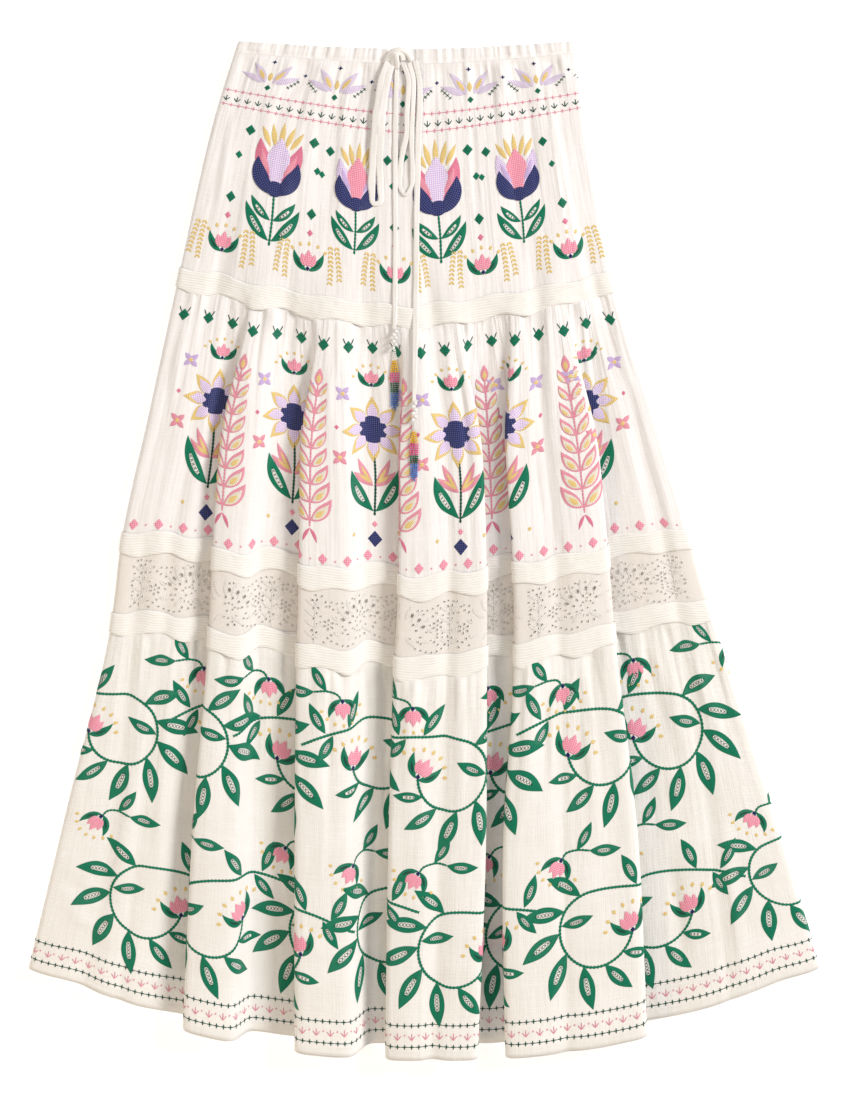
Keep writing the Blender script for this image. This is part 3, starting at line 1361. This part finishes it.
def tier_3_stitching(panel):
    pen = Pen(panel, "tier_3")
    for row in HEM_ROWS:
        crosses(pen, row, "dark_green", 7.0, 2.3, 1.25, 0.7)
    along_rows(pen, HEM_SPRIG, 14.0, lambda n: pen.sprig("pale_pink", 1.35))
    along_rows(pen, HEM_SPRIG - 4, 14.0, lambda n: pen.plus("pale_pink", 7, -1, 1.0, 0.8))
    for drop, radius, mirror, shift, above, bloom_turn in SCROLL_ROWS:
        width = panel.width_at(drop)
        count = int(width // SCROLL_PITCH)
        step = width / count
        for number in range(-1, count + 1):
            along = step * (number + shift)
            if 6 < along < width - 6:
                turn, lower = SCROLL_TURNS[number % len(SCROLL_TURNS)]
                pen.move(along, drop + lower, turn, 1.0, mirror)
                scroll(pen, radius)
            along += 0.5 * step
            if 10 < along < width - 10:
                pen.move(along, drop - above, 0, 0.95, mirror)
                hanging_bloom(pen, bloom_turn)
    return pen.finish()


def lace_stitching(panel):
    """Satin petals between the eyelets, in the lace's own colour."""
    pen = Pen(panel, "lace")
    width = panel.width_at(LACE_TOP + 40)
    repeats, start = centred(width, LACE_REPEAT, 0.0)
    middle = LACE_TOP + FAN_HEIGHT * (LACE_BOTTOM - LACE_TOP)

    def satin(x, y, heading, length, wide, bend=0.0):
        pen.leaf("lace_satin", x, y, heading, length, wide, bend)

    for number in range(-1, repeats + 1):
        along = start + LACE_REPEAT * number
        if 10 < along < width - 10:
            pen.move(along, middle)
            for k in range(6):
                heading = -(30 + 24 * k)
                satin(*(toward(heading) * (14, 13)), heading, 11, 3.4)
            for k in range(8):
                heading = -(8 + 23.4 * k)
                satin(*(toward(heading) * (24.5, 22)), heading + 30, 8, 2.8)
            for side in (-1, 1):
                satin(side * 3, 6, 90 - side * 66, 15, 4.4, side * 30)
                satin(side * 20, 9, 90 - side * 80, 10, 3.4, -side * 20)
        between = along + 0.5 * LACE_REPEAT
        if 10 < between < width - 10:
            pen.move(between, middle)
            pen.stem("lace_satin", [(0, 22), (0.5, 0), (0, -22)], 1.1)
            for k in range(4):
                for side in (-1, 1):
                    satin(0, 16 - 10.5 * k, -90 + side * 48, 12, 3.2, side * 20)
    return pen.finish()


# Back pieces

BACK_MIDDLE_Z = 0.72
BACK_ACROSS = 240
BACK_SEAM_GAP = 0.15
# Node, lower edge, rows of points, slot, and flat size round the skirt and down it
BACK_PIECES = (
    ("waist_casing_back", CASING_DROP, 5, "cotton", (0.34, 0.015)),
    ("yoke_back", BAND_1_DROP - BAND_HALF, 30, "cotton", (0.42, 0.245)),
    ("band_1_back", BAND_1_DROP + BAND_HALF, 9, "trim", (0.45, 0.024)),
    ("tier_2_back", BAND_2_DROP - BAND_HALF, 30, "cotton", (0.54, 0.25)),
    ("band_2_back", BAND_2_DROP + BAND_HALF, 9, "trim", (0.6, 0.024)),
    ("lace_back", BAND_3_DROP - BAND_HALF, 12, "lace", (0.61, 0.058)),
    ("band_3_back", BAND_3_DROP + BAND_HALF, 9, "trim", (0.62, 0.024)),
    ("tier_3_back", BACK_HEM, 40, "cotton", (0.73, 0.375)),
)


def back_piece(node, top, bottom, rows, slot, material):
    """A plain back piece, nearly flat on the floor, with faint gathers."""
    share, drop = np.meshgrid(np.linspace(-1, 1, BACK_ACROSS), np.linspace(top, bottom, rows))
    left, middle, right = edges_at(drop)
    x = middle + share * np.where(share < 0, middle - left, right - middle)
    y = row_y(x, np.full_like(x, FLOOR_Z), drop)
    y = y - BACK_DRAWN_UP * ramp(drop / HEM_DROP) * ramp((1 - np.abs(share)) * 8)
    fading = np.exp(-(drop - top) / 60.0) if slot == "cotton" else 0.4
    ripple = 0.34 * fading * wander(x / 5.0, drop / 50.0, 61) + 0.12 * wander(x / 22.0, drop / 70.0, 62)
    z = BACK_MIDDLE_Z + ripple * ramp((1 - np.abs(share)) * 20)
    points = np.stack([x, y, z], axis=-1)
    made = grid_mesh(f"{node}_{slot}", points, np.stack([x, drop], axis=-1), material)
    stand_for(made, node)
    return made


# Drawstring

TIE_STEP = 2.5
TIE_ABOVE = 0.8  # a tape's middle over the cloth
SPOT = 4.0  # how far to each side the height under a tie is looked for

# Half the tape's width along each stretch: pairs of a share of its length and a value
TAPES = {
    "drawstring_loop_left": (
        (0, 3.0), (0.2, 4.2), (0.42, 4.0), (0.5, 2.6), (0.58, 3.6), (0.85, 4.2), (1, 3.0),
    ),
    "drawstring_loop_right": (
        (0, 2.6), (0.2, 2.9), (0.42, 2.8), (0.5, 2.0), (0.6, 2.7), (0.85, 2.5), (1, 2.4),
    ),
    "drawstring_tail_left": ((0, 2.4), (0.3, 2.7), (0.6, 2.4), (0.9, 2.6), (1, 1.8)),
    "drawstring_tail_right": ((0, 2.8), (0.2, 3.4), (0.5, 3.0), (0.8, 3.1), (1, 2.0)),
}
# Their routes: x and y on the sheet, and height above the cloth
TIES = {
    "drawstring_loop_left": (
        (388, 63, 1.0), (382, 79, 2.2), (378, 104, 2.2), (375, 135, 2.0), (373, 165, 1.2),
        (372, 192, 0.4), (374.5, 205, 0.2), (379.5, 204, 0.2), (380.5, 190, 0.4),
        (379.5, 165, 1.2), (380.5, 135, 2.0), (383.5, 104, 2.2), (388, 80, 1.8), (392, 66, 1.0),
    ),
    "drawstring_loop_right": (
        (403.5, 65, 1.0), (408, 79, 2.0), (408, 100, 2.0), (406.8, 118, 1.8), (407, 133, 1.6),
        (403, 152, 1.2), (400.2, 172, 0.6), (400.8, 190, 0.2), (405.5, 196, 0.2),
        (410.5, 190, 0.2), (412.3, 172, 0.6), (411.8, 152, 1.2), (411.8, 133, 1.6),
        (412.3, 118, 1.8), (413.2, 100, 2.0), (413, 79, 2.0), (409, 64, 1.0),
    ),
    "drawstring_tail_left": (
        (397, 69, 0.8), (395.8, 100, 0.1), (395.2, 180, 0.1), (395.3, 240, 0.1), (395, 300, 0.3),
        (394.5, 331, 0.8),
    ),
    "drawstring_tail_right": (
        (414.5, 62, 1.0), (418.5, 77, 0.6), (419.8, 100, 0.1), (418.6, 130, 0.1),
        (417.6, 165, 0.1), (416.9, 200, 0.1), (416.3, 250, 0.1), (415.4, 330, 0.3),
        (414, 403, 0.8),
    ),
}


class Rests:
    """Heights of the front cloth over the sheet."""

    def __init__(self, panels):
        points = np.concatenate([panel.points.reshape(-1, 3) for panel in panels])
        self.points = points[np.argsort(points[:, 0])]

    def top(self, x, y, reach=SPOT):
        low, high = np.searchsorted(self.points[:, 0], (x - reach, x + reach))
        near = self.points[low:high]
        near = near[np.abs(near[:, 1] - y) < reach]
        return float(near[:, 2].max()) if len(near) else FLOOR_Z


def route(knots, rests):
    """A smooth route over the cloth."""
    knots = np.array(knots, float)
    run = run_of(knots[:, :2])
    x, y, extra = smooth_line(knots, run, np.linspace(0, run[-1], int(round(run[-1] / TIE_STEP)) + 1)).T
    tops = np.array([rests.top(a, b) for a, b in zip(x, y)])
    for _ in range(14):
        tops[1:-1] = np.maximum(tops[1:-1], 0.5 * (tops[:-2] + tops[2:]) - 0.05)
        tops[1:-1] = (tops[:-2] + 2 * tops[1:-1] + tops[2:]) / 4
    return np.stack([x, y, tops + TIE_ABOVE + extra], axis=-1)


def frames(path):
    """Unit vectors to the side of each point of a path and up from it."""
    ahead = unit(np.gradient(path, axis=0))
    side = unit(np.cross(ahead, [0.0, 0.0, 1.0]))
    return side, np.cross(side, ahead)


TAPE_SECTION = (
    (-1.0, 0.0), (-0.8, 0.45), (-0.35, 0.55), (0.0, 0.42), (0.4, 0.6), (0.8, 0.45),
    (1.0, 0.0), (0.8, -0.4), (0.0, -0.5), (-0.8, -0.4),
)


def tape(name, points, material):
    """A soft flat tape along a route, folded a little on itself."""
    run, (side, up) = run_of(points), frames(points)
    half = np.interp(np.linspace(0, 1, len(points)), *zip(*TAPES[name]))
    half = half * (1 + 0.1 * wander(run / 14.0, 0.0, len(name)))
    tilt = 0.35 * wander(run / 40.0, 0.0, 3 + len(name))
    rings = []
    for across, thick in TAPE_SECTION:
        rise = thick * (1.0 + 0.4 * wander(run / 9.0, across * 2, 15)) + across * half * tilt * 0.3
        rings.append(points + side * (across * half)[:, None] + up * rise[:, None])
    sides = len(rings)
    uv = np.broadcast_arrays(run[:, None], np.linspace(0, 2, sides) * half[:, None])
    faces = tube_faces(len(points), sides)
    made = new_mesh(f"{name}_tape", np.stack(rings, axis=1), faces, np.stack(uv, axis=-1), material)
    stand_for(made, name)
    return made


BEAD = 2.0  # from bead to bead down a string
BEAD_SIDES = 6
SEED_BEAD = (1.05, 0.95, 1.05)  # half sizes
FINE_BEAD = (0.5, 1.2, 0.5)
BEAD_ORDER = ("bead_gold", "bead_rose", "bead_green", "bead_blue")
# How far below a tassel's top each colour starts, and where the last one ends
TASSEL_ROWS = {"tassel_left": (30, 42, 52, 62, 76), "tassel_right": (29, 41, 53, 61, 75)}
TASSEL_HEAD = 20.0
TASSEL_SPREAD = 3.3


def beads(name, placed, colour):
    """Rounded beads, given the middle and the half sizes of each."""
    form = []
    for ring in (-1, 0, 1):
        out = 1.0 if ring == 0 else 0.72
        for k in range(BEAD_SIDES):
            a = math.pi * (k + 0.5 * ring) / 3
            form.append((out * math.cos(a), 0.62 * ring, out * math.sin(a)))
    form = np.array([*form, (0, -1, 0), (0, 1, 0)])
    form_faces = tube_faces(3, BEAD_SIDES)[:-2]
    for k in range(BEAD_SIDES):
        n = (k + 1) % BEAD_SIDES
        form_faces += [(18, n, k), (19, 12 + k, 12 + n)]
    points = np.concatenate([np.array(middle) + form * half for middle, half in placed])
    faces = [[first + k for k in face] for first in range(0, len(points), len(form)) for face in form_faces]
    return new_mesh(name, points, faces, None, BEADS[colour])


def tassel(name, tail, rests):
    """Strings of seed beads below a white bead head, in place of its solid."""
    x, y, _ = tail[-1]
    z = max(rests.top(x, y + reach) for reach in range(0, 30, 4)) + 2.6
    head = [((x + 1.2 * (-1) ** k, y + 1.5 + 3.3 * k, z), (2.7 - 0.1 * k, 1.9, 2.2)) for k in range(6)]
    made = [beads(f"{name}_head", head, "bead_white")]
    stand_for(made[0], name)
    strings = {colour: [] for colour in ("bead_white", *BEAD_ORDER)}
    for strand in range(4):
        share = (strand - 1.5) / 1.5
        for colour, start, end in zip(BEAD_ORDER, TASSEL_ROWS[name], TASSEL_ROWS[name][1:]):
            end += 2.5 * ((strand * 7) % 3) * (colour == "bead_blue")
            for k in range(int((end - start) / BEAD)):
                down = start + BEAD * (k + 0.5)
                open_out = ramp((down - 18) / 30) * TASSEL_SPREAD
                bead_x = x + share * open_out + 0.5 * math.sin(down / 9.0 + strand)
                bead_z = rests.top(bead_x, y + down, 3.0) + 1.1
                strings[colour].append(((bead_x, y + down, bead_z), SEED_BEAD))
        for k in range(5):
            down = TASSEL_HEAD + 2.1 * k
            bead_x = x + share * (0.9 + 0.25 * k)
            bead_z = rests.top(bead_x, y + down, 3.0) + 0.8
            strings["bead_white"].append(((bead_x, y + down, bead_z), FINE_BEAD))
    for colour, placed in strings.items():
        made.append(beads(f"{name}_{colour}", placed, colour))
        add_to(made[-1])
    return made


# The knot's wraps: x and y on the sheet, and height above its foot
KNOT_WRAPS = (
    ((385, 65, -1), (389, 58, 1.2), (394, 53.5, 2.6), (400, 51.8, 3.0), (406, 54, 1.8), (412, 62, -0.6)),
    ((392, 67, -0.5), (393.5, 60, 2.4), (396.5, 55.5, 3.6), (400.5, 55.5, 2.4), (403, 62, -0.5)),
    ((397, 70, -0.5), (396.8, 62, 3.0), (395.2, 56.5, 3.8), (392, 57.5, 2.2), (389, 62.5, 0)),
)
KNOT_FOOT = 1.1
KNOT_RINGS, KNOT_SIDES = 22, 12


def knot(material, rests):
    """The half-tied knot at the middle of the bow: crossing wraps of tape."""
    z = rests.top(398, 58) + KNOT_FOOT
    angles = np.linspace(0, 2 * math.pi, KNOT_SIDES, endpoint=False)
    fold = 1 + 0.12 * np.cos(3 * angles)
    across, out = (2.9 * fold * np.cos(angles))[:, None], (1.5 * fold * np.sin(angles))[:, None]
    points, faces, uvs = [], [], []
    for number, line in enumerate(np.array(wrap, float) for wrap in KNOT_WRAPS):
        run = run_of(line)
        at = np.linspace(0, run[-1], KNOT_RINGS)
        path = smooth_line(line, run, at) + [0, 0, z]
        side, up = frames(path)
        points.append(path[:, None] + side[:, None] * across + up[:, None] * out)
        faces += tube_faces(KNOT_RINGS, KNOT_SIDES, number * KNOT_RINGS * KNOT_SIDES)
        uvs.append(np.stack(np.meshgrid(3 * angles, at)[::-1], axis=-1))
    made = new_mesh("drawstring_knot_wraps", np.concatenate(points), faces, np.concatenate(uvs), material)
    stand_for(made, "drawstring_knot")


# Floor and light

FLOOR_BELOW = 0.3
FLOOR_GLOW = 0.42
FLOOR_CORNERS = ((-6000, -6000), (6800, -6000), (6800, 7000), (-6000, 7000))
WORLD_COLOUR, WORLD_STRENGTH = (1.0, 0.94, 0.9, 1.0), 0.44
# Place in metres, size, power and colour
LIGHTS = {
    "key": ((3.9, 1.9, 2.7), 1.7, 232.0, (1.0, 0.99, 0.98)),
    "fill": ((-2.2, -0.4, 3.4), 1.6, 17.0, (1.0, 0.98, 0.96)),
    "warm": ((-2.0, -2.0, 1.5), 1.0, 20.0, (1.0, 0.76, 0.44)),
}


def floor():
    """A white table under the skirt."""
    look = Look("floor", (0.97, 0.975, 0.98), 0.9)
    look.feed(look.shader, {"Emission Color": (1.0, 1.0, 1.0, 1.0), "Emission Strength": FLOOR_GLOW})
    points = np.array([(x, y, -FLOOR_BELOW) for x, y in FLOOR_CORNERS], float)
    new_mesh("floor", points, [(0, 3, 2, 1)], None, look.material, rounded=False)


def lights():
    """Soft lights that face the middle of the skirt, and a pale sky."""
    scene = bpy.context.scene
    scene.world = bpy.data.worlds.new("world")
    scene.world.use_nodes = True
    background = scene.world.node_tree.nodes["Background"]
    background.inputs["Color"].default_value = WORLD_COLOUR
    background.inputs["Strength"].default_value = WORLD_STRENGTH
    for name, (spot, size, power, colour) in LIGHTS.items():
        data = bpy.data.lights.new(name, "AREA")
        data.shape, data.size, data.energy, data.color = "DISK", size, power, colour
        made = bpy.data.objects.new(name, data)
        made.location = spot
        made.rotation_euler = Vector(spot).to_track_quat("Z", "Y").to_euler()
        scene.collection.objects.link(made)
    scene.view_settings.view_transform = "Standard"
    scene.view_settings.exposure = 0.0


# Everything

camera()

COTTON = cotton("cotton", COTTON_LIGHT, COTTON_DARK, crinkle=3.2)
LINEN = cotton("linen", LINEN_LIGHT, LINEN_DARK, 1.6, crinkle=1.6)
LACE = cotton("lace_cotton", LACE_LIGHT, LACE_DARK, 0.7, 0.14)
RIM = thread("lace_rims", LACE_LIGHT, 0.6)
TRIM = trim_cloth("trim", CREAM_LIGHT, CREAM_DARK)
TAPE = cotton("tape", COTTON_LIGHT, CREAM_DARK, 0.8)
THREADS = {name: thread(f"thread_{name}", colour) for name, colour in THREAD_COLOURS.items()}
for name, gap in (("lilac", COTTON_LIGHT), ("navy", (0.1, 0.11, 0.24)), ("pink", (0.93, 0.6, 0.64))):
    THREADS[f"{name}_lattice"] = thread(f"thread_{name}_lattice", THREAD_COLOURS[name], gap_colour=gap)
THREADS["cream_satin"] = thread("thread_cream_satin", (0.93, 0.86, 0.74))
THREADS["lace_satin"] = thread("thread_lace_satin", LACE_LIGHT)
BEADS = {name: Look(name, colour, 0.22).material for name, colour in BEAD_COLOURS.items()}

casing_panel, casing_piece = casing(COTTON)
yoke_panel, yoke_piece = tier("yoke", COTTON)
tier_2_panel, tier_2_piece = tier("tier_2", COTTON)
tier_3_panel, tier_3_piece = tier("tier_3", LINEN)
lace_panel, lace_piece, lace_rims = lace(LACE, RIM)
rests = Rests((casing_panel, yoke_panel, tier_2_panel))
routes = {name: route(knots, rests) for name, knots in TIES.items()}
tapes = {name: tape(name, points, TAPE) for name, points in routes.items()}
tassels = {
    name: tassel(name, routes[name.replace("tassel", "drawstring_tail")], rests) for name in TASSEL_ROWS
}
knot(TAPE, rests)

# Drop, flat size, and what each front band lies on
BANDS = {
    "band_1_front": (BAND_1_DROP, (0.52, 0.025), "yoke_front"),
    "band_2_front": (BAND_2_DROP, (0.92, 0.025), "tier_2_front"),
    "band_3_front": (BAND_3_DROP, (0.95, 0.025), "lace_front"),
}
bands = {node: front_band(node, drop, TRIM) for node, (drop, _, _) in BANDS.items()}
yoke_work = yoke_stitching(yoke_panel)
tier_2_work = tier_2_stitching(tier_2_panel)
tier_3_work = tier_3_stitching(tier_3_panel)
lace_work = lace_stitching(lace_panel)

BACK_MATERIALS = {"cotton": COTTON, "trim": TRIM, "lace": LACE}
backs, top = [], 0.0
for node, bottom, rows, slot, flat in BACK_PIECES:
    edges = (top + BACK_SEAM_GAP, bottom - BACK_SEAM_GAP)
    backs.append((back_piece(node, *edges, rows, slot, BACK_MATERIALS[slot]), flat))
    top = bottom

floor()
lights()
